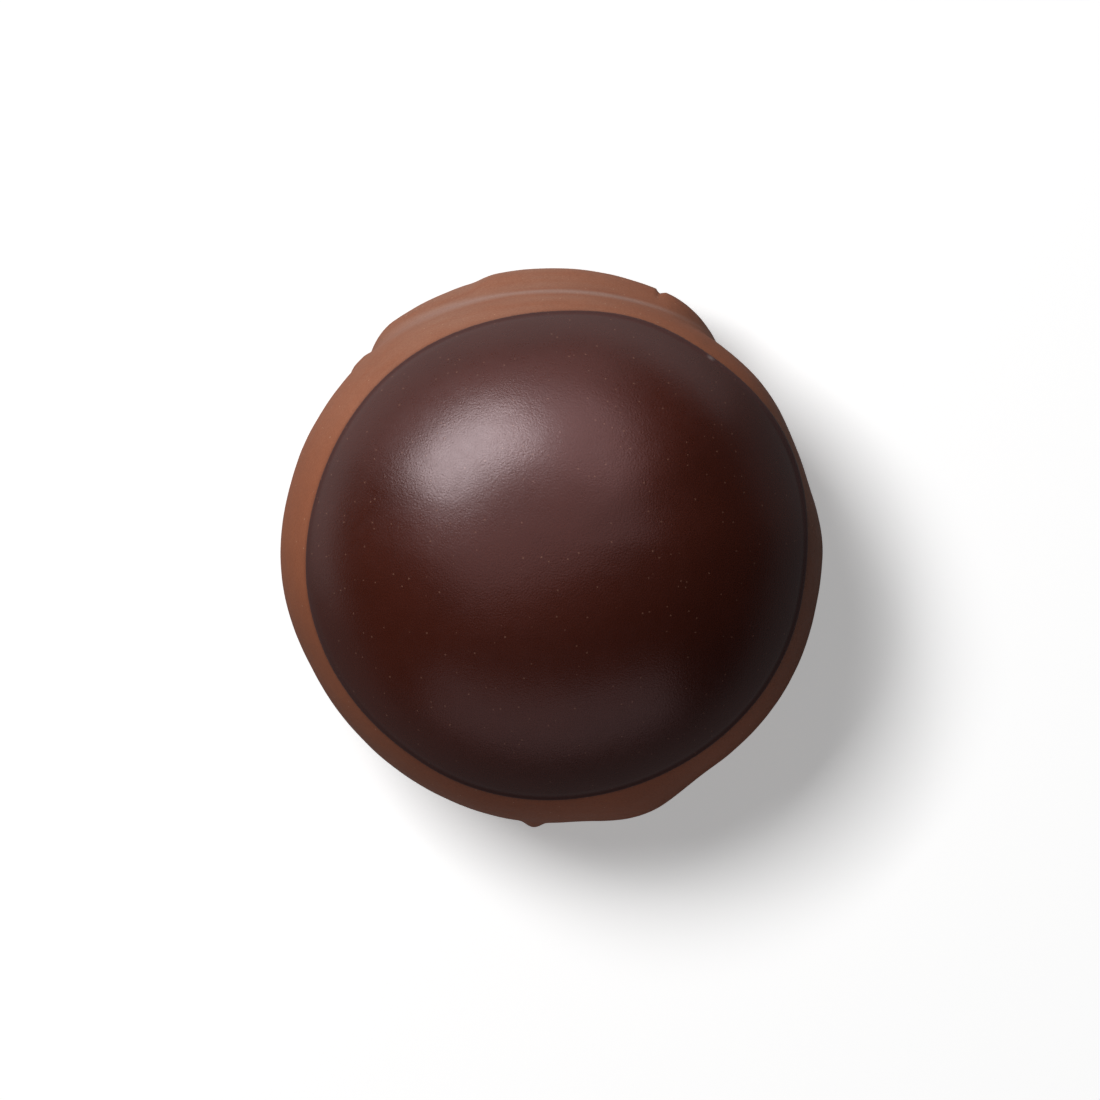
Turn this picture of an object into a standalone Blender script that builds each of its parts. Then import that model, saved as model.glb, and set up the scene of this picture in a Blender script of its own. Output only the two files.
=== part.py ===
"""Chocolate truffle: a round centre in a milk chocolate coat, dipped again in dark chocolate over its crown.

Metres, +Z up. The origin is the middle of the flat base, on the surface that the truffle stands on. Azimuths are in
degrees, anticlockwise from +X. The coat is one solid: a slightly flattened ball on a spread foot, with the tongues of
chocolate that ran down its side. The cap is a second solid: a thin shell over the crown that ends in a round lip.
"""

import math
from typing import NamedTuple

import bmesh
import bpy

MM = 0.001
TURN = 2 * math.pi

# The ball: its widest level, its radius there before the swells of GIRTH, and its rise and drop from there
EQUATOR_HEIGHT = 11.2 * MM
BALL_RADIUS = 14.85 * MM
CROWN_RISE = 13.3 * MM
UNDERSIDE_DROP = 15.5 * MM

# The cap: its thickness, how its lip rounds off, and its edge in plan, which is a circle set off the axis
CAP_THICKNESS = 0.7 * MM
LIP_WIDTH = 1.2 * MM
LIP_SQUARENESS = 2.4
EDGE_RADIUS = 13.3 * MM
EDGE_SHIFT_X = 0.24 * MM
EDGE_SHIFT_Y = -0.34 * MM

# The seat that the coat leaves under the cap, so that the two solids stay apart
SEAT_DEPTH = 0.3 * MM
SEAT_RAMP = 0.45 * MM

# The foot: a bead of chocolate that spread on the tray
FOOT_REACH = 13.3 * MM
FOOT_TOP = 3.4 * MM
FOOT_SQUARENESS = 2

# The tongues: how square their tops are, how far their sides slope down, and how they run into each other
TONGUE_SQUARENESS = 3.2
TONGUE_SIDE_DROP = 0.6
FLOW_BLEND = 0.4 * MM

# How far below the tray the round lower rim of a foot or a tongue would end
RIM_DEPTH = 0.4 * MM

# The mesh: columns round the axis, and rows up each stretch of the profile
COLUMNS = 96
WALL_ROWS = 14
SHOULDER_ROWS = 8
CROWN_ROWS = 8
LIP_ROWS = 4
WELD = 1e-6

MILK_CHOCOLATE = (0.27, 0.115, 0.062)
DARK_CHOCOLATE = (0.045, 0.014, 0.009)


class Swell(NamedTuple):
    """A rise, or a dent where it is negative, that fades out half_width degrees from its azimuth."""

    azimuth: float
    half_width: float
    rise: float


class Tongue(NamedTuple):
    """Coat that ran down: full within half_width degrees of its azimuth, and fading out over fade degrees more."""

    azimuth: float
    half_width: float
    fade: float
    top: float
    reach: float


GIRTH = (
    Swell(0, 16, 0.12 * MM),
    Swell(20, 22, -0.28 * MM),
    Swell(58, 30, -0.35 * MM),
    Swell(98, 50, -0.60 * MM),
    Swell(143, 20, -0.10 * MM),
    Swell(187, 26, 0.20 * MM),
    Swell(255, 60, 0.22 * MM),
    Swell(325, 40, 0.30 * MM),
)

EDGE_WAVES = (
    Swell(28, 40, 0.34 * MM),
    Swell(60, 26, 0.14 * MM),
    Swell(98, 42, -0.28 * MM),
    Swell(197, 42, 0.26 * MM),
    Swell(292, 48, -0.26 * MM),
)

FOOT_WAVES = (
    Swell(15, 30, 0.55 * MM),
    Swell(85, 40, 0.90 * MM),
    Swell(160, 30, 0.60 * MM),
    Swell(212, 24, 0.75 * MM),
    Swell(252, 22, 0.80 * MM),
    Swell(330, 34, 0.70 * MM),
)

TONGUES = (
    Tongue(84, 18, 20, 12.9 * MM, 15.58 * MM),
    Tongue(117, 8, 18, 12.0 * MM, 15.42 * MM),
    Tongue(136, 1, 13, 9.0 * MM, 15.05 * MM),
    Tongue(288, 3, 24, 7.0 * MM, 15.86 * MM),
    Tongue(266, 1, 11, 3.0 * MM, 15.66 * MM),
)


def degrees_between(azimuth, other):
    return abs((azimuth - other + 180) % 360 - 180)


def swelling(azimuth, swells):
    """The sum of the swells at an azimuth."""
    total = 0.0
    for swell in swells:
        away = min(degrees_between(azimuth, swell.azimuth) / swell.half_width, 1)
        total += swell.rise * (1 + math.cos(math.pi * away)) / 2
    return total


def smooth_max(first, second, blend):
    """The larger of two radii, with a fillet where they come within blend of each other."""
    near = max(blend - abs(first - second), 0) / blend
    return max(first, second) + near**3 * blend / 6


def girth(azimuth):
    return BALL_RADIUS + swelling(azimuth, GIRTH)


def fullness(height, top, squareness):
    """How full the profile of a flow of coat is: 1 at its middle, 0 from its top up."""
    half = (top + RIM_DEPTH) / 2
    up = min(abs(height + RIM_DEPTH - half) / half, 1)
    return (1 - up**squareness) ** (1 / squareness)


def foot_radius(azimuth, height, ball):
    reach = FOOT_REACH + swelling(azimuth, FOOT_WAVES)
    return ball + max(reach - ball, 0) * fullness(height, FOOT_TOP, FOOT_SQUARENESS)


def tongue_radius(azimuth, height, ball, tongue):
    """A tongue stands on the tray against the ball, and both its height and its reach fade out at its sides."""
    away = degrees_between(azimuth, tongue.azimuth)
    share = min(max((tongue.half_width + tongue.fade - away) / tongue.fade, 0), 1)
    share *= share * (3 - 2 * share)
    top = tongue.top * (1 - TONGUE_SIDE_DROP * (1 - math.sqrt(share)))
    return ball + max(tongue.reach - ball, 0) * share * fullness(height, top, TONGUE_SQUARENESS)


def wall_radius(azimuth, height):
    """How far the coat reaches from the axis at a height."""
    over = height - EQUATOR_HEIGHT
    rise = CROWN_RISE if over > 0 else UNDERSIDE_DROP
    ball = girth(azimuth) * math.sqrt(1 - (over / rise) ** 2)
    radius = foot_radius(azimuth, height, ball)
    for tongue in TONGUES:
        flow = tongue_radius(azimuth, height, ball, tongue)
        if flow > ball:
            radius = smooth_max(radius, flow, min(FLOW_BLEND, flow - ball))
    return radius


def edge_latitude(azimuth):
    """The angle above the ball's equator at which the cap ends."""
    turn = math.radians(azimuth)
    plan = EDGE_RADIUS + EDGE_SHIFT_X * math.cos(turn) + EDGE_SHIFT_Y * math.sin(turn)
    return math.acos((plan + swelling(azimuth, EDGE_WAVES)) / girth(azimuth))


def above_ball(azimuth, latitude, offset):
    """(radius, height) of the point that stands offset off the upper half of the ball."""
    reach = girth(azimuth)
    out, up = math.cos(latitude), math.sin(latitude)
    slant = math.hypot(out / reach, up / CROWN_RISE)
    radius = reach * out + offset * out / reach / slant
    return max(radius, 0), EQUATOR_HEIGHT + CROWN_RISE * up + offset * up / CROWN_RISE / slant


def coat_profile(azimuth):
    """The coat from the middle of its base to the top of its seat."""
    heights = [EQUATOR_HEIGHT * (row / WALL_ROWS) ** 1.5 for row in range(WALL_ROWS)]
    edge = edge_latitude(azimuth)
    seat_start = edge - SEAT_RAMP / girth(azimuth)
    heights += [
        EQUATOR_HEIGHT + CROWN_RISE * math.sin(seat_start * row / SHOULDER_ROWS)
        for row in range(SHOULDER_ROWS + 1)
    ]
    profile = [(0, 0)] + [(wall_radius(azimuth, height), height) for height in heights]
    for row in range(CROWN_ROWS + 1):
        latitude = edge + (math.pi / 2 - edge) * row / CROWN_ROWS
        profile.append(above_ball(azimuth, latitude, -SEAT_DEPTH))
    return profile


def cap_profile(azimuth):
    """The cap from the top of its hollow, down to its edge, over the lip and up to the top of the crown."""
    edge = edge_latitude(azimuth)
    lip_end = edge + LIP_WIDTH / girth(azimuth)
    profile = []
    for row in range(CROWN_ROWS + 1):
        latitude = math.pi / 2 + (edge - math.pi / 2) * row / CROWN_ROWS
        profile.append(above_ball(azimuth, latitude, 0))
    for row in range(1, LIP_ROWS + 1):
        way = (row / LIP_ROWS) ** 2
        thickness = CAP_THICKNESS * (1 - (1 - way) ** LIP_SQUARENESS) ** (1 / LIP_SQUARENESS)
        profile.append(above_ball(azimuth, edge + (lip_end - edge) * way, thickness))
    for row in range(1, CROWN_ROWS + 1):
        latitude = lip_end + (math.pi / 2 - lip_end) * row / CROWN_ROWS
        profile.append(above_ball(azimuth, latitude, CAP_THICKNESS))
    return profile


def make_skin(name, profile_at, material):
    """A closed skin: a grid bent once round the axis, with its seam and its poles welded."""
    profiles = [profile_at(360 * column / COLUMNS) for column in range(COLUMNS)]
    rows = len(profiles[0]) - 1
    mesh = bpy.data.meshes.new(name)
    skin = bmesh.new()
    bmesh.ops.create_grid(skin, x_segments=COLUMNS, y_segments=rows, size=0.5)
    for vertex in skin.verts:
        column = round((vertex.co.x + 0.5) * COLUMNS) % COLUMNS
        radius, height = profiles[column][round((vertex.co.y + 0.5) * rows)]
        turn = TURN * column / COLUMNS
        vertex.co = (radius * math.cos(turn), radius * math.sin(turn), height)
    bmesh.ops.remove_doubles(skin, verts=skin.verts, dist=WELD)
    bmesh.ops.recalc_face_normals(skin, faces=skin.faces)
    skin.to_mesh(mesh)
    skin.free()
    mesh.shade_smooth()
    mesh.materials.append(material)
    made = bpy.data.objects.new(name, mesh)
    bpy.context.scene.collection.objects.link(made)
    return made


def chocolate(name, colour, roughness):
    material = bpy.data.materials.new(name)
    material.use_nodes = True
    shader = material.node_tree.nodes["Principled BSDF"]
    shader.inputs["Base Color"].default_value = (*colour, 1)
    shader.inputs["Roughness"].default_value = roughness
    shader.inputs["Metallic"].default_value = 0
    return material


def clear_scene():
    for old in list(bpy.data.objects):
        bpy.data.objects.remove(old)


def main():
    clear_scene()
    make_skin("milk_coat", coat_profile, chocolate("milk_chocolate", MILK_CHOCOLATE, 0.5))
    make_skin("dark_cap", cap_profile, chocolate("dark_chocolate", DARK_CHOCOLATE, 0.35))


main()
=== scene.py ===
"""The looks of a dipped chocolate truffle: a milk chocolate coat and a dark chocolate cap over its crown.

Metres, +Z up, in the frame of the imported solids. Azimuths are in degrees, anticlockwise from +X. Both skins
are made by Geometry Nodes: a grid is bent once round the axis, and each of its points gets its radius and its
height from a formula for the dipped shape. The formulas are written as Python expressions on sockets.
"""

import math
from typing import NamedTuple

import bmesh
import bpy
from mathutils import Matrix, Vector


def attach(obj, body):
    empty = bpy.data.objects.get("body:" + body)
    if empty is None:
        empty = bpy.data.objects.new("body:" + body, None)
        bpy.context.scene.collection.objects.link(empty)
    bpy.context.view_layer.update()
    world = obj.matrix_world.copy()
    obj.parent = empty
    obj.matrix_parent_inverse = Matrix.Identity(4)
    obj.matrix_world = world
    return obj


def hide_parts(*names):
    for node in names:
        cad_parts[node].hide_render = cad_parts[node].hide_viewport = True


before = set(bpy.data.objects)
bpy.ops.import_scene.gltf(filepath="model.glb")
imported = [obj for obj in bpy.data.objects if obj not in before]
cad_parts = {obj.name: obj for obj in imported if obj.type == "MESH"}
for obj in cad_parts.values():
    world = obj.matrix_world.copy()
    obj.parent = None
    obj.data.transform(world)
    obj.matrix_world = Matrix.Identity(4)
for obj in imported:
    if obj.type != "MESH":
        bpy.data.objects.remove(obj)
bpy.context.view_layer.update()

MM = 0.001
TURN = 2 * math.pi

# The ball under both skins: its widest level, its radius there, and its rise and drop from there
EQUATOR_HEIGHT = 11.2 * MM
BALL_RADIUS = 14.85 * MM
CROWN_RISE = 13.3 * MM
UNDERSIDE_DROP = 15.5 * MM

# The cap's shell, and its edge in plan, which is a circle set off the axis
CAP_THICKNESS = 0.7 * MM
LIP_WIDTH = 1.6 * MM
LIP_SQUARENESS = 2.1
EDGE_RADIUS = 13.38 * MM
EDGE_SHIFT_X = 0.30 * MM
EDGE_SHIFT_Y = -0.43 * MM
CAP_SINK = 0.06 * MM

# Painted shade: the dark line at the cap's edge, where the lip's shadow falls on both chocolates
LIP_SHADOW_WIDTH = 0.38 * MM
LIP_REACH = 0.10 * MM

# The painted dark line of shade fades in on the coat over these heights, so that it stays off the wall and
# the foot
LIP_SHADOW_FROM = 13.0 * MM
LIP_SHADOW_FULL = 14.0 * MM

# Pale bloom on the coat's thick north side in faint streaks round it, and painted sheen over that whole side
BLOOM_AND_SHEEN_AZIMUTH = 108.0
BLOOM_AND_SHEEN_HALF_WIDTH = 64.0
BLOOM_SQUASH = (1.0, 1.0, 4.0)

# A painted highlight: a pale line along the ridge at the upper edge of the coat that ran down the north side.
# Its distance from the axis and its width, its middle and how far it reaches each way, where it widens, and
# the heights it fades in over
HIGHLIGHT_LINE_RADIUS = 15.1 * MM
HIGHLIGHT_LINE_WIDTH = 0.20 * MM
HIGHLIGHT_LINE_AZIMUTH = 92.0
HIGHLIGHT_LINE_HALF_LENGTH = 50.0
HIGHLIGHT_LINE_WIDENS_FROM = 98.0
HIGHLIGHT_LINE_WIDENS_TO = 122.0
HIGHLIGHT_LINE_WIDENING = 1.4
HIGHLIGHT_LINE_FROM = 5.0 * MM
HIGHLIGHT_LINE_FULL = 8.0 * MM

# A tiny pale chip in the cap's edge; its half length is in degrees
CHIP_AZIMUTH = 50.0
CHIP_HALF_LENGTH = 1.4
CHIP_HALF_WIDTH = 0.16 * MM

# Small specks: how many cells a metre holds, each with one speck or none, and how much of a speck is full
SPECK_CELLS = 2000.0
SPECK_CORE = 0.6

# How fine the patterns in the chocolates are, in waves per metre
MILK_CLOUDS = 210.0
MILK_MOTTLES = 1500.0
MILK_GRAINS = 8500.0
DARK_CLOUDS = 190.0
DARK_MOTTLES = 1300.0
DARK_GRAINS = 9500.0
BLOOM_STREAKS = 240.0

# How deep the grain is that the materials raise
GRAIN_DEPTH = 0.02 * MM

# Milk chocolate, and what is mixed into it
MILK_DEEP = (0.255, 0.084, 0.038, 1)
MILK_WARM = (0.295, 0.100, 0.047, 1)
MILK_MOTTLE = (0.34, 0.125, 0.062, 1)
# Pale bloom, with painted sheen on the north side
MILK_BLOOM_AND_SHEEN = (0.325, 0.175, 0.118, 1)
# A painted highlight along the north ridge
MILK_RIDGE_HIGHLIGHT = (0.42, 0.29, 0.25, 1)
MILK_GRAIN = (0.19, 0.058, 0.026, 1)
MILK_SPECK = (0.55, 0.37, 0.27, 1)
# Painted shade under the cap's lip
MILK_LIP_SHADOW = (0.06, 0.012, 0.006, 1)

# Dark chocolate, and what is mixed into it
DARK_DEEP = (0.046, 0.0088, 0.0041, 1)
DARK_WARM = (0.057, 0.0112, 0.0054, 1)
DARK_GRAIN = (0.034, 0.006, 0.003, 1)
DARK_SPECK = (0.19, 0.095, 0.065, 1)
# Painted shade along the cap's lip
DARK_LIP_SHADE = (0.022, 0.0042, 0.0018, 1)
DARK_CHIP = (0.24, 0.19, 0.18, 1)
DARK_SHEEN = (1.0, 0.90, 0.955, 1)

# The seat in the coat, out of sight under the cap
SEAT_DEPTH = 0.3 * MM
SEAT_INSET = 0.5 * MM
SEAT_STEP_SHARE = 0.2

# The foot, and the shape of the flows of coat
FOOT_REACH = 13.3 * MM
FOOT_TOP = 3.4 * MM
FOOT_SQUARENESS = 2.0
FLOW_SQUARENESS = 2.1
FLOW_SIDE_DROP = 0.6
FLOW_EASING = 0.35
FLOW_BLEND = 0.35 * MM
RIM_DEPTH = 0.4 * MM

# The flat base is left smooth up to the first of these heights, and the unevenness is full from the second
SMOOTH_UP_TO = 0.3 * MM
UNEVEN_FROM = 2.0 * MM

# The grids: columns stand closer together where the coat is most broken, at the north and the south
COLUMNS = 480
CROWDING = 0.5
CROWDED_AZIMUTH = 85.0
COAT_ROWS = 194
COAT_BASE_SHARE = 0.03
COAT_SEAT_SHARE = 0.04
CAP_ROWS = 150
CAP_HOLLOW_SHARE = 0.1
CAP_LIP_SHARE = 0.3
WELD_DISTANCE = 5e-8

# How far the unevenness of each skin rises, and the seeds of its noise
COAT_RELIEF = 0.05 * MM
COAT_SEED = 0.37
CAP_RELIEF = 0.03 * MM
CAP_SEED = 0.11

# How bright the studio is beyond the lamps, where full light on white paper is 1
DIM_STUDIO = 0.02

# The lamps' colours, and how far they stand from the truffle
WHITE = (1.0, 1.0, 1.0)
PINKISH = (1.0, 0.965, 0.955)
ROSY = (1.0, 0.75, 0.74)
SOFTBOX_DISTANCE = 600 * MM

# The floor, half its width, and where it glows in a gloss, on the key's side of the truffle
FLOOR_HALF_WIDTH = 2.0
GLOW_AZIMUTH = math.radians(117)
GLOW_START = 12 * MM
GLOW_END = 55 * MM

# How white the floor is in a gloss and as a bounce, and what it adds to its own white for the camera
FLOOR_IN_GLOSS = 0.26
GLOW_IN_GLOSS = 0.9
FLOOR_BOUNCE = 0.25
FLOOR_LIFT = 0.37

# The camera looks straight down; its field is as wide as this at the truffle's widest level
CAMERA_PLACE = (-0.11 * MM, -0.17 * MM, 500 * MM)
CAMERA_FIELD = 60.9 * MM
CAMERA_NEAR = 0.01
CAMERA_FAR = 10.0
SENSOR_WIDTH = 36.0


class Swell(NamedTuple):
    """A rise, or a dent where it is negative, that fades out half_width degrees from its azimuth."""

    azimuth: float
    half_width: float
    rise: float


class Flow(NamedTuple):
    """Coat that ran down: full within half_width degrees of its azimuth, and gone fade degrees further on.

    Its top is its height at its middle, and its reach is how far from the axis it stands."""

    azimuth: float
    half_width: float
    fade: float
    top: float
    reach: float


class Lump(NamedTuple):
    """A small rise or dent on the wall, that fades out half_width degrees and half_height away."""

    azimuth: float
    half_width: float
    height: float
    half_height: float
    rise: float


class Unevenness(NamedTuple):
    """Slow waves and small ripples on a skin, by scale, and how high the ripples are beside the waves."""

    waves: float
    detail: float
    ripples: float
    ripple_share: float


class Softbox(NamedTuple):
    """A rectangular softbox that faces the truffle, width by height metres.

    At a brightness of 1 it is as bright as white paper in full light. Its use is "all", "gloss" if it only
    shows in reflections, or "fill" if it only lights."""

    name: str
    azimuth: float
    elevation: float
    width: float
    height: float
    brightness: float
    colour: tuple
    use: str = "all"


# How the ball's widest level, the cap's edge, the foot and the painted highlight line stray from true circles
GIRTH = (
    Swell(0, 16, 0.12 * MM),
    Swell(20, 22, -0.28 * MM),
    Swell(58, 30, -0.35 * MM),
    Swell(98, 50, -0.60 * MM),
    Swell(143, 20, -0.10 * MM),
    Swell(187, 26, 0.20 * MM),
    Swell(255, 60, 0.22 * MM),
    Swell(325, 40, 0.30 * MM),
)

EDGE_WAVES = (
    Swell(26, 38, 0.44 * MM),
    Swell(68, 24, 0.12 * MM),
    Swell(98, 42, -0.28 * MM),
    Swell(197, 42, 0.26 * MM),
    Swell(292, 48, -0.26 * MM),
)

FOOT_WAVES = (
    Swell(15, 30, 0.55 * MM),
    Swell(85, 40, 0.90 * MM),
    Swell(160, 30, 0.60 * MM),
    Swell(212, 24, 0.75 * MM),
    Swell(252, 22, 0.80 * MM),
    Swell(330, 34, 0.70 * MM),
)

HIGHLIGHT_LINE_WAVES = (Swell(91, 60, -1.0 * MM),)

# The coat that ran down: two flows side by side with a ledge along their top at the north, and
# smaller ones round the rest
FLOWS = (
    Flow(83, 18, 26, 12.9 * MM, 15.58 * MM),
    Flow(117, 8, 18, 12.0 * MM, 15.42 * MM),
    Flow(136, 1, 13, 9.0 * MM, 15.05 * MM),
    Flow(288, 6, 20, 8.5 * MM, 14.95 * MM),
    Flow(262, 4, 16, 6.5 * MM, 14.66 * MM),
    Flow(8, 4, 18, 7.5 * MM, 14.3 * MM),
    Flow(40, 3, 14, 6.0 * MM, 14.2 * MM),
    Flow(168, 5, 17, 8.5 * MM, 14.5 * MM),
    Flow(202, 3, 15, 6.5 * MM, 14.6 * MM),
    Flow(236, 4, 18, 8.0 * MM, 14.6 * MM),
    Flow(326, 4, 18, 8.2 * MM, 14.5 * MM),
)

# A nick in the north flow, a broad lobe and a narrower one at the south, and a drip beside them
LUMPS = (
    Lump(67, 1.1, 6.2 * MM, 5.0 * MM, -0.28 * MM),
    Lump(276, 44, 9.5 * MM, 9.0 * MM, 0.27 * MM),
    Lump(289.5, 16, 8.5 * MM, 9.0 * MM, 0.60 * MM),
    Lump(266.2, 3.5, 9.5 * MM, 3.0 * MM, 0.36 * MM),
)

COAT_UNEVENNESS = Unevenness(260.0, 2.0, 900.0, 0.35)
CAP_UNEVENNESS = Unevenness(170.0, 1.5, 650.0, 0.25)

# The softboxes that light the truffle alone, and the one that lights the floor alone, as flags would see to
TRUFFLE_LAMPS = (
    Softbox("key", 128, 39.5, 0.43, 0.28, 9.9, PINKISH),
    Softbox("key_wing", 84, 42, 0.46, 0.40, 1.6, ROSY, "gloss"),
    Softbox("scrim", 112, 62, 1.10, 0.90, 1.0, ROSY, "gloss"),
    Softbox("back_card", 110, 13, 1.10, 0.20, 1.0, ROSY, "gloss"),
    Softbox("north_fill", 105, 34, 0.50, 0.40, 1.1, PINKISH, "fill"),
    Softbox("low_card", 268, 20, 0.95, 0.34, 0.60, ROSY),
    Softbox("fill", 250, 62, 0.40, 0.40, 0.60, PINKISH, "fill"),
)
FLOOR_LAMP = Softbox("floor_lamp", 139, 64, 0.20, 0.20, 21.0, WHITE)


class Value:
    """A number socket that Python's operators work on: each adds its Math node to the socket's tree."""

    def __init__(self, socket):
        self.socket = socket

    def maths(self, operation, *operands):
        bench = Bench(self.socket.id_data)
        return bench.add("ShaderNodeMath", {"operation": operation}, dict(enumerate(operands)))

    def __add__(self, other):
        return self.maths("ADD", self, other)

    def __radd__(self, other):
        return self.maths("ADD", other, self)

    def __sub__(self, other):
        return self.maths("SUBTRACT", self, other)

    def __rsub__(self, other):
        return self.maths("SUBTRACT", other, self)

    def __mul__(self, other):
        return self.maths("MULTIPLY", self, other)

    def __truediv__(self, other):
        return self.maths("DIVIDE", self, other)

    def __pow__(self, other):
        return self.maths("POWER", self, other)

    def __mod__(self, other):
        return self.maths("FLOORED_MODULO", self, other)

    def __abs__(self):
        return self.maths("ABSOLUTE", self)

    def __gt__(self, other):
        return self.maths("GREATER_THAN", self, other)

    def least(self, other):
        return self.maths("MINIMUM", self, other)

    def most(self, other):
        return self.maths("MAXIMUM", self, other)

    def within(self, low, high):
        return self.most(low).least(high)

    def share_of(self, low, high):
        """Where this value lies between low and high, from 0 to 1, and flat past both."""
        return ((self - low) / (high - low)).within(0.0, 1.0)

    def cosine(self):
        return self.maths("COSINE", self)

    def sine(self):
        return self.maths("SINE", self)

    def root(self):
        return self.maths("SQRT", self)

    def arc_cosine(self):
        return self.maths("ARCCOSINE", self)

    def angle_with(self, other):
        """The angle in radians, from -pi to pi, with its sine along this value and cosine along the other."""
        return self.maths("ARCTAN2", self, other)

    def beside(self, name):
        """Another output of the node that this value comes from."""
        return Value(self.socket.node.outputs[name])


class Bench:
    """A node tree being built, of a shader or of geometry."""

    def __init__(self, tree):
        self.tree = tree

    def add(self, kind, settings=None, sockets=None, output=0):
        """Adds a node: its settings first, then the values or links of its sockets. Returns one output."""
        node = self.tree.nodes.new(kind)
        for name, setting in (settings or {}).items():
            setattr(node, name, setting)
        for name, source in (sockets or {}).items():
            if isinstance(source, Value):
                self.tree.links.new(source.socket, node.inputs[name])
            else:
                node.inputs[name].default_value = source
        return Value(node.outputs[output]) if node.outputs else node

    def mix(self, share, first, second):
        """A colour between two others."""
        settings = {"data_type": "RGBA", "clamp_factor": True}
        return self.add("ShaderNodeMix", settings, {0: share, 6: first, 7: second}, 2)

    def vector(self, operation, first, second):
        second_name = "Scale" if operation == "SCALE" else 1
        return self.add("ShaderNodeVectorMath", {"operation": operation}, {0: first, second_name: second})

    def noise(self, place, scale, detail=2.0):
        return self.add("ShaderNodeTexNoise", {}, {"Vector": place, "Scale": scale, "Detail": detail}, "Fac")

    def apart(self, place):
        """The X of a place; its Y and Z are beside it."""
        return self.add("ShaderNodeSeparateXYZ", {}, {0: place})


def window(away, half_width):
    """1 at nothing away, and fading to 0 at half_width."""
    return ((away / half_width).least(1.0) * math.pi).cosine() * 0.5 + 0.5


def degrees_between(azimuth, other):
    return abs((azimuth - other + 180.0) % 360.0 - 180.0)


def swelling(azimuth, swells):
    """The sum of the swells at an azimuth."""
    rises = (window(degrees_between(azimuth, swell.azimuth), swell.half_width) * swell.rise
             for swell in swells)
    return sum(rises)


def smooth_max(first, second, blend):
    """The larger of two values, with a fillet where they come within blend of each other."""
    near = (blend - abs(first - second)).most(0.0) / blend
    return first.most(second) + near**3.0 * (blend / 6)


def fullness(height, top, squareness):
    """How full the profile of a flow of coat is: 1 at its middle, 0 from its top up."""
    half = (top + RIM_DEPTH) * 0.5
    up = (abs(height + RIM_DEPTH - half) / half).least(1.0)
    return (1.0 - up**squareness) ** (1 / squareness)


def eased(share):
    """A share from 0 to 1 that sets off and arrives gently."""
    return share * share * (3.0 - share * 2.0)


def foot_radius(azimuth, height, ball):
    """How far from the axis the ball reaches, or the bead of chocolate round its foot where that is more."""
    reach = swelling(azimuth, FOOT_WAVES) + FOOT_REACH
    return ball + (reach - ball).most(0.0) * fullness(height, FOOT_TOP, FOOT_SQUARENESS)


def flow_rise(azimuth, height, ball, flow):
    """How far a flow stands out from the ball: its height and its reach both fade out at its sides."""
    away = degrees_between(azimuth, flow.azimuth)
    share = eased(1.0 - away.share_of(flow.half_width, flow.half_width + flow.fade))
    top = (1.0 - (1.0 - share.root()) * FLOW_SIDE_DROP) * flow.top
    easing = eased(((top - height) / (top * FLOW_EASING)).within(0.0, 1.0))
    return (flow.reach - ball).most(0.0) * share * easing * fullness(height, top, FLOW_SQUARENESS)


def lump_rise(azimuth, height, lump):
    across = window(degrees_between(azimuth, lump.azimuth), lump.half_width)
    return across * window(abs(height - lump.height), lump.half_height) * lump.rise


def wall_radius(azimuth, height, ball):
    """How far the coat reaches from the axis, at a height where the bare ball reaches ball."""
    radius = foot_radius(azimuth, height, ball)
    for flow in FLOWS:
        rise = flow_rise(azimuth, height, ball, flow)
        radius = smooth_max(radius, ball + rise, rise.within(WELD_DISTANCE, FLOW_BLEND))
    for lump in LUMPS:
        radius = radius + lump_rise(azimuth, height, lump)
    return radius


def girth(azimuth):
    """The ball's radius at its widest level."""
    return swelling(azimuth, GIRTH) + BALL_RADIUS


def edge_reach(azimuth):
    """How far from the axis the cap ends."""
    turn = azimuth * (TURN / 360)
    shift = turn.cosine() * EDGE_SHIFT_X + turn.sine() * EDGE_SHIFT_Y
    return shift + swelling(azimuth, EDGE_WAVES) + EDGE_RADIUS


def edge_latitude(azimuth, reach):
    """The angle above the ball's widest level at which the cap ends, in radians."""
    return (edge_reach(azimuth) / reach).arc_cosine()


def crowded_azimuth(turns):
    """A column's azimuth, turns of the way round: the columns crowd at CROWDED_AZIMUTH and opposite it."""
    phase = math.radians(2 * CROWDED_AZIMUTH)
    swing = math.degrees(CROWDING / 2)
    return turns * 360.0 - (turns * (2 * TURN) - phase).sine() * swing - swing * math.sin(phase)


def coat_profile(azimuth, share):
    """(radius, height) on the coat, from the middle of its base to the top of its seat."""
    base = share.share_of(0.0, COAT_BASE_SHARE)
    wall = share.share_of(COAT_BASE_SHARE, 1 - COAT_SEAT_SHARE)
    seat = share.share_of(1 - COAT_SEAT_SHARE, 1.0)
    reach = girth(azimuth)
    foot = -math.asin(EQUATOR_HEIGHT / UNDERSIDE_DROP)
    wall_top = edge_latitude(azimuth, reach) + SEAT_INSET / BALL_RADIUS
    latitude = (wall_top - foot) * wall + (math.pi / 2 - wall_top) * seat + foot
    up = latitude.sine()
    sunk = 1.0 - seat.share_of(0.0, SEAT_STEP_SHARE) * (SEAT_DEPTH / BALL_RADIUS)
    over = (up.most(0.0) * CROWN_RISE + up.least(0.0) * UNDERSIDE_DROP) * sunk
    height = (over + EQUATOR_HEIGHT).most(0.0)
    ball = reach * latitude.cosine() * sunk
    return wall_radius(azimuth, height, ball) * base, height


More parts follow.
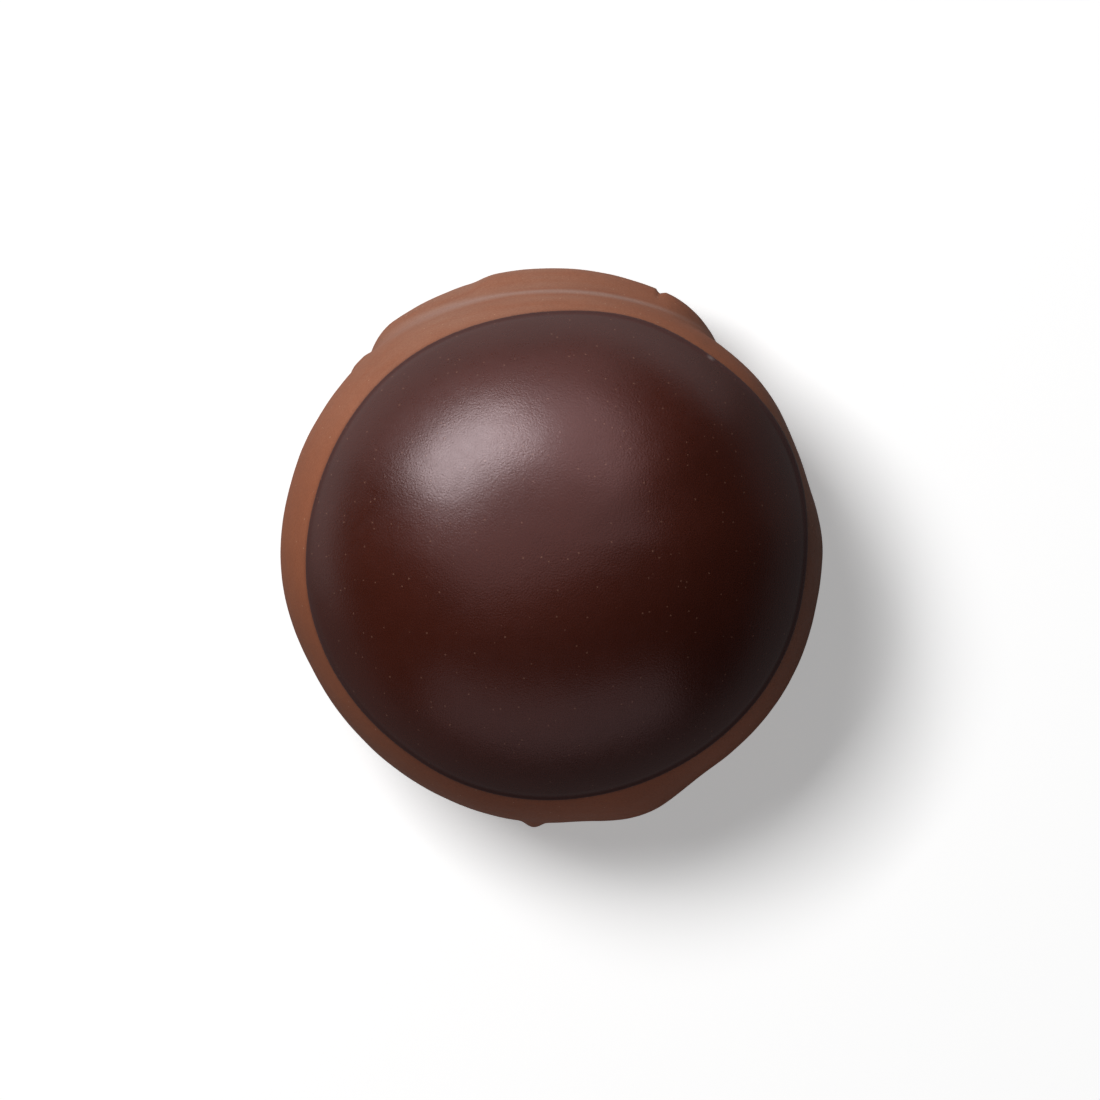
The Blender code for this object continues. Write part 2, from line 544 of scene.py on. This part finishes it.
def cap_profile(azimuth, share):
    """(radius, height) on the cap, from the top of its hollow, round its lip and up to the crown."""
    hollow = share.share_of(0.0, CAP_HOLLOW_SHARE)
    lip = share.share_of(CAP_HOLLOW_SHARE, CAP_LIP_SHARE) ** 2.0
    dome = share.share_of(CAP_LIP_SHARE, 1.0)
    reach = girth(azimuth)
    edge = edge_latitude(azimuth, reach)
    lip_end = edge + LIP_WIDTH / BALL_RADIUS
    latitude = (edge - math.pi / 2) * hollow + (lip_end - edge) * lip + (math.pi / 2 - lip_end) * dome
    latitude = latitude + math.pi / 2
    thickness = (1.0 - (1.0 - lip) ** LIP_SQUARENESS) ** (1 / LIP_SQUARENESS) * CAP_THICKNESS - CAP_SINK
    out = latitude.cosine()
    up = latitude.sine()
    slant = ((out / reach) ** 2.0 + (up / CROWN_RISE) ** 2.0).root()
    radius = reach * out + thickness * out / reach / slant
    height = up * CROWN_RISE + thickness * up / CROWN_RISE / slant + EQUATOR_HEIGHT
    return radius, height


def skin_tree(name, profile, relief, material):
    """A tree that bends a grid once round the axis, welds its seam and poles, and raises a relief on it."""
    tree = bpy.data.node_groups.new(name, "GeometryNodeTree")
    bench = Bench(tree)
    tree.interface.new_socket("Skin", in_out="OUTPUT", socket_type="NodeSocketGeometry")
    for label, kind in (("Columns", "Int"), ("Rows", "Int"), ("Relief", "Float"), ("Seed", "Float")):
        tree.interface.new_socket(label, in_out="INPUT", socket_type="NodeSocket" + kind)
    inputs = bench.add("NodeGroupInput")
    across = inputs.beside("Columns") + 1.0
    along = inputs.beside("Rows") + 1.0
    sockets = {"Size X": 1.0, "Size Y": 1.0, "Vertices X": across, "Vertices Y": along}
    grid = bench.add("GeometryNodeMeshGrid", {}, sockets)
    place = bench.add("GeometryNodeInputPosition")
    x = bench.apart(place)
    azimuth = crowded_azimuth(x + 0.5)
    radius, height = profile(azimuth, x.beside("Y") + 0.5)
    turn = azimuth * (TURN / 360)
    sockets = {0: radius * turn.cosine(), 1: radius * turn.sine(), 2: height}
    bent = bench.add("ShaderNodeCombineXYZ", {}, sockets)
    skin = bench.add("GeometryNodeSetPosition", {}, {"Geometry": grid, "Position": bent})
    skin = bench.add("GeometryNodeMergeByDistance", {}, {"Geometry": skin, "Distance": WELD_DISTANCE})
    outward = bench.add("GeometryNodeInputNormal")
    rise = relief(bench, place, inputs.beside("Seed")) * inputs.beside("Relief")
    offset = bench.vector("SCALE", outward, rise)
    skin = bench.add("GeometryNodeSetPosition", {}, {"Geometry": skin, "Offset": offset})
    skin = bench.add("GeometryNodeSetShadeSmooth", {}, {"Geometry": skin})
    skin = bench.add("GeometryNodeRealizeInstances", {}, {"Geometry": skin})
    skin = bench.add("GeometryNodeSetMaterial", {}, {"Geometry": skin, "Material": material})
    bench.add("NodeGroupOutput", {}, {0: skin})
    return tree


def grow(name, tree, settings):
    """Evaluates a tree on an object of its own, and keeps the result as a plain mesh."""
    holder = bpy.data.objects.new(name + "_maker", bpy.data.meshes.new(name + "_maker"))
    bpy.context.scene.collection.objects.link(holder)
    maker = holder.modifiers.new("maker", "NODES")
    maker.node_group = tree
    for socket in tree.interface.items_tree:
        if socket.name in settings:
            maker[socket.identifier] = settings[socket.name]
    depsgraph = bpy.context.evaluated_depsgraph_get()
    mesh = bpy.data.meshes.new_from_object(holder.evaluated_get(depsgraph))
    mesh.name = name
    bpy.data.objects.remove(holder)
    face_outward(mesh)
    piece = bpy.data.objects.new(name, mesh)
    bpy.context.scene.collection.objects.link(piece)
    return piece


def face_outward(mesh):
    skin = bmesh.new()
    skin.from_mesh(mesh)
    bmesh.ops.recalc_face_normals(skin, faces=skin.faces)
    skin.to_mesh(mesh)
    skin.free()


def unevenness(bench, place, seed, kind):
    """The rise of a kind of unevenness, from about -1 to 1."""
    where = bench.vector("ADD", place, bench.add("ShaderNodeCombineXYZ", {}, {0: seed}))
    waves = bench.noise(where, kind.waves, kind.detail) - 0.5
    ripples = bench.noise(where, kind.ripples) - 0.5
    return waves * 2.0 + ripples * kind.ripple_share


def coat_relief(bench, place, seed):
    """The unevenness of a coat that ran and set, with none of it on the flat base."""
    height = bench.apart(place).beside("Z")
    return unevenness(bench, place, seed, COAT_UNEVENNESS) * height.share_of(SMOOTH_UP_TO, UNEVEN_FROM)


def cap_relief(bench, place, seed):
    """The faint waves of a skin that ran a little while it set."""
    return unevenness(bench, place, seed, CAP_UNEVENNESS)


def start_material(name):
    material = bpy.data.materials.new(name)
    material.use_nodes = True
    material.node_tree.nodes.clear()
    return material, Bench(material.node_tree)


def specks(bench, place, size, rarity):
    """1 on small round specks: size is their radius in cells, and rarity the share of cells left empty."""
    distance = bench.add("ShaderNodeTexVoronoi", {}, {"Vector": place, "Scale": SPECK_CELLS})
    chance = bench.add("ShaderNodeSeparateColor", {}, {0: distance.beside("Color")})
    return (1.0 - distance.share_of(size * SPECK_CORE, size)) * (chance > rarity)


def in_plan(bench, place):
    """A place's distance from the axis, its azimuth in degrees and its height."""
    x = bench.apart(place)
    y = x.beside("Y")
    return (x * x + y * y).root(), y.angle_with(x) * (360 / TURN), x.beside("Z")


def bloom_and_painted_sheen(bench, place, azimuth):
    """How pale the coat's thick north side is: pale bloom in faint streaks that run round it, and painted
    sheen over the whole side.
    """
    squashed = bench.vector("MULTIPLY", place, BLOOM_SQUASH)
    streaks = bench.noise(squashed, BLOOM_STREAKS).share_of(0.35, 0.75)
    return window(degrees_between(azimuth, BLOOM_AND_SHEEN_AZIMUTH), BLOOM_AND_SHEEN_HALF_WIDTH) * (streaks * 0.45 + 0.30)


def painted_ridge_highlight(plan, azimuth, height):
    """1 along the middle of the painted highlight on the north ridge, and fading out to its sides and its
    ends.
    """
    line = swelling(azimuth, HIGHLIGHT_LINE_WAVES) + HIGHLIGHT_LINE_RADIUS
    width = (azimuth.share_of(HIGHLIGHT_LINE_WIDENS_FROM, HIGHLIGHT_LINE_WIDENS_TO) * HIGHLIGHT_LINE_WIDENING + 1.0) * HIGHLIGHT_LINE_WIDTH
    length = (window(degrees_between(azimuth, HIGHLIGHT_LINE_AZIMUTH), HIGHLIGHT_LINE_HALF_LENGTH) * 1.5).least(1.0)
    return window(abs(plan - line), width) * length * height.share_of(HIGHLIGHT_LINE_FROM, HIGHLIGHT_LINE_FULL)


def set_chocolate(bench, colour, roughness, relief, bump, gloss):
    """Ends a chocolate's tree in its shader; gloss holds what is the same all over."""
    normal = bench.add("ShaderNodeBump", {}, {"Strength": bump, "Distance": GRAIN_DEPTH, "Height": relief})
    sockets = {"Base Color": colour, "Roughness": roughness, "Normal": normal}
    shader = bench.add("ShaderNodeBsdfPrincipled", {}, sockets | gloss)
    bench.add("ShaderNodeOutputMaterial", {}, {"Surface": shader})


def milk_chocolate():
    material, bench = start_material("milk_chocolate_satin")
    place = bench.add("ShaderNodeTexCoord").beside("Object")
    plan, azimuth, height = in_plan(bench, place)
    clouds = bench.noise(place, MILK_CLOUDS, 3.0)
    mottling = bench.noise(place, MILK_MOTTLES)
    grain = bench.noise(place, MILK_GRAINS, 1.0)
    colour = bench.mix(clouds.share_of(0.3, 0.7), MILK_DEEP, MILK_WARM)
    colour = bench.mix(mottling.share_of(0.35, 0.75) * 0.25, colour, MILK_MOTTLE)
    # Partly pale bloom, partly painted sheen: the north side is made paler where it catches the light
    colour = bench.mix(bloom_and_painted_sheen(bench, place, azimuth), colour, MILK_BLOOM_AND_SHEEN)
    # Painted highlight: a pale line along the ridge of the north flow
    colour = bench.mix(painted_ridge_highlight(plan, azimuth, height) * 0.55, colour, MILK_RIDGE_HIGHLIGHT)
    colour = bench.mix(grain.share_of(0.3, 0.75) * 0.4, colour, MILK_GRAIN)
    colour = bench.mix(specks(bench, place, 0.11, 0.6) * 0.55, colour, MILK_SPECK)
    # Painted shade: the coat is darkened in a thin line just past the cap's edge, where the lip casts its
    # shadow
    past = (plan - edge_reach(azimuth)).most(0.0)
    lip_shadow = window(past, LIP_SHADOW_WIDTH) * height.share_of(LIP_SHADOW_FROM, LIP_SHADOW_FULL)
    colour = bench.mix(lip_shadow * 0.75, colour, MILK_LIP_SHADOW)
    roughness = mottling * 0.14 + grain * 0.08 + 0.36
    relief = mottling * 0.5 + grain * 0.5
    set_chocolate(bench, colour, roughness, relief, 1.0, {"IOR": 1.46, "Specular IOR Level": 0.22})
    return material


def dark_chocolate():
    material, bench = start_material("dark_chocolate_satin")
    place = bench.add("ShaderNodeTexCoord").beside("Object")
    plan, azimuth, _ = in_plan(bench, place)
    clouds = bench.noise(place, DARK_CLOUDS, 3.0)
    mottling = bench.noise(place, DARK_MOTTLES)
    grain = bench.noise(place, DARK_GRAINS, 1.0)
    colour = bench.mix(clouds.share_of(0.3, 0.7), DARK_DEEP, DARK_WARM)
    colour = bench.mix(grain.share_of(0.3, 0.7) * 0.35, colour, DARK_GRAIN)
    colour = bench.mix(specks(bench, place, 0.12, 0.35) * 0.6, colour, DARK_SPECK)
    off_lip = abs(plan - edge_reach(azimuth) - LIP_REACH)
    # Painted shade: the cap is darkened in a thin line along its lip where it meets the coat, and the same
    # line is made rougher
    lip_shade = window(off_lip, LIP_SHADOW_WIDTH * 0.7)
    colour = bench.mix(lip_shade * 0.5, colour, DARK_LIP_SHADE)
    chip = window(degrees_between(azimuth, CHIP_AZIMUTH), CHIP_HALF_LENGTH) * window(off_lip, CHIP_HALF_WIDTH)
    colour = bench.mix(chip * 0.6, colour, DARK_CHIP)
    roughness = mottling * 0.08 + grain * 0.08 + 0.21 + lip_shade * 0.6
    relief = mottling * 0.4 + grain * 0.7
    set_chocolate(bench, colour, roughness, relief, 0.6, {"IOR": 1.5, "Specular Tint": DARK_SHEEN})
    return material


def floor_paint():
    """White to the camera, straight or through glass, with the shadow on it, and darker to the truffle."""
    material, bench = start_material("pale_floor")
    path = bench.add("ShaderNodeLightPath")
    seen = path.most(path.beside("Is Transmission Ray"))
    x = bench.apart(bench.add("ShaderNodeTexCoord").beside("Object"))
    toward_key = x * math.cos(GLOW_AZIMUTH) + x.beside("Y") * math.sin(GLOW_AZIMUTH)
    glow = toward_key.share_of(GLOW_START, GLOW_END) * GLOW_IN_GLOSS
    glossy = path.beside("Is Glossy Ray") * (glow + FLOOR_IN_GLOSS)
    bounce = path.beside("Is Diffuse Ray") * FLOOR_BOUNCE
    colour = bench.mix(seen.most(glossy).most(bounce), (0, 0, 0, 1), (1, 1, 1, 1))
    diffuse = bench.add("ShaderNodeBsdfDiffuse", {}, {"Color": colour})
    lift = bench.add("ShaderNodeEmission", {}, {"Strength": seen * FLOOR_LIFT})
    both = bench.add("ShaderNodeAddShader", {}, {0: diffuse, 1: lift})
    bench.add("ShaderNodeOutputMaterial", {}, {"Surface": both})
    return material


def lay_floor():
    mesh = bpy.data.meshes.new("floor")
    half = FLOOR_HALF_WIDTH
    corners = [(-half, -half, 0), (half, -half, 0), (half, half, 0), (-half, half, 0)]
    mesh.from_pydata(corners, [], [(0, 1, 2, 3)])
    mesh.materials.append(floor_paint())
    floor = bpy.data.objects.new("floor", mesh)
    bpy.context.scene.collection.objects.link(floor)
    return floor


def hang_softbox(box, lit):
    """Hangs a softbox that lights only the pieces in lit."""
    lamp = bpy.data.lights.new(box.name, "AREA")
    lamp.shape = "RECTANGLE"
    lamp.size = box.width
    lamp.size_y = box.height
    lamp.energy = box.brightness * math.pi * lamp.size * lamp.size_y
    lamp.color = box.colour
    turn = math.radians(box.azimuth)
    lift = math.radians(box.elevation)
    way = Vector((math.cos(turn) * math.cos(lift), math.sin(turn) * math.cos(lift), math.sin(lift)))
    light = bpy.data.objects.new(box.name, lamp)
    light.location = Vector((0, 0, EQUATOR_HEIGHT)) + way * SOFTBOX_DISTANCE
    light.rotation_euler = way.to_track_quat("Z", "Y").to_euler()
    light.visible_camera = False
    light.visible_diffuse = box.use != "gloss"
    light.visible_glossy = box.use != "fill"
    bpy.context.scene.collection.objects.link(light)
    receivers = bpy.data.collections.new(box.name + "_receivers")
    for piece in lit:
        receivers.objects.link(piece)
    light.light_linking.receiver_collection = receivers


def light_the_set(floor, pieces):
    for box in TRUFFLE_LAMPS:
        hang_softbox(box, pieces)
    hang_softbox(FLOOR_LAMP, (floor,))
    fill_the_room()


def fill_the_room():
    """A world that is white to the camera and dim to everything else."""
    world = bpy.data.worlds.new("studio")
    world.use_nodes = True
    world.node_tree.nodes.clear()
    bench = Bench(world.node_tree)
    path = bench.add("ShaderNodeLightPath")
    strength = path * (1.0 - DIM_STUDIO) + DIM_STUDIO
    shader = bench.add("ShaderNodeBackground", {}, {"Color": (1, 1, 1, 1), "Strength": strength})
    bench.add("ShaderNodeOutputWorld", {}, {"Surface": shader})
    bpy.context.scene.world = world


def set_camera():
    lens = bpy.data.cameras.new("camera")
    lens.sensor_width = SENSOR_WIDTH
    lens.lens = SENSOR_WIDTH * (CAMERA_PLACE[2] - EQUATOR_HEIGHT) / CAMERA_FIELD
    lens.clip_start = CAMERA_NEAR
    lens.clip_end = CAMERA_FAR
    camera = bpy.data.objects.new("camera", lens)
    camera.location = CAMERA_PLACE
    bpy.context.scene.collection.objects.link(camera)
    bpy.context.scene.camera = camera


def main():
    coat_tree = skin_tree("coat_shape", coat_profile, coat_relief, milk_chocolate())
    cap_tree = skin_tree("cap_shape", cap_profile, cap_relief, dark_chocolate())
    coat_sizes = {"Columns": COLUMNS, "Rows": COAT_ROWS, "Relief": COAT_RELIEF, "Seed": COAT_SEED}
    cap_sizes = {"Columns": COLUMNS, "Rows": CAP_ROWS, "Relief": CAP_RELIEF, "Seed": CAP_SEED}
    coat = grow("coat", coat_tree, coat_sizes)
    cap = grow("cap", cap_tree, cap_sizes)
    for piece, node, slot in ((coat, "milk_coat", "milk_chocolate"), (cap, "dark_cap", "dark_chocolate")):
        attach(piece, "root")
        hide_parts(node)
    light_the_set(lay_floor(), (coat, cap))
    set_camera()
    bpy.context.scene.view_settings.view_transform = "Standard"


main()
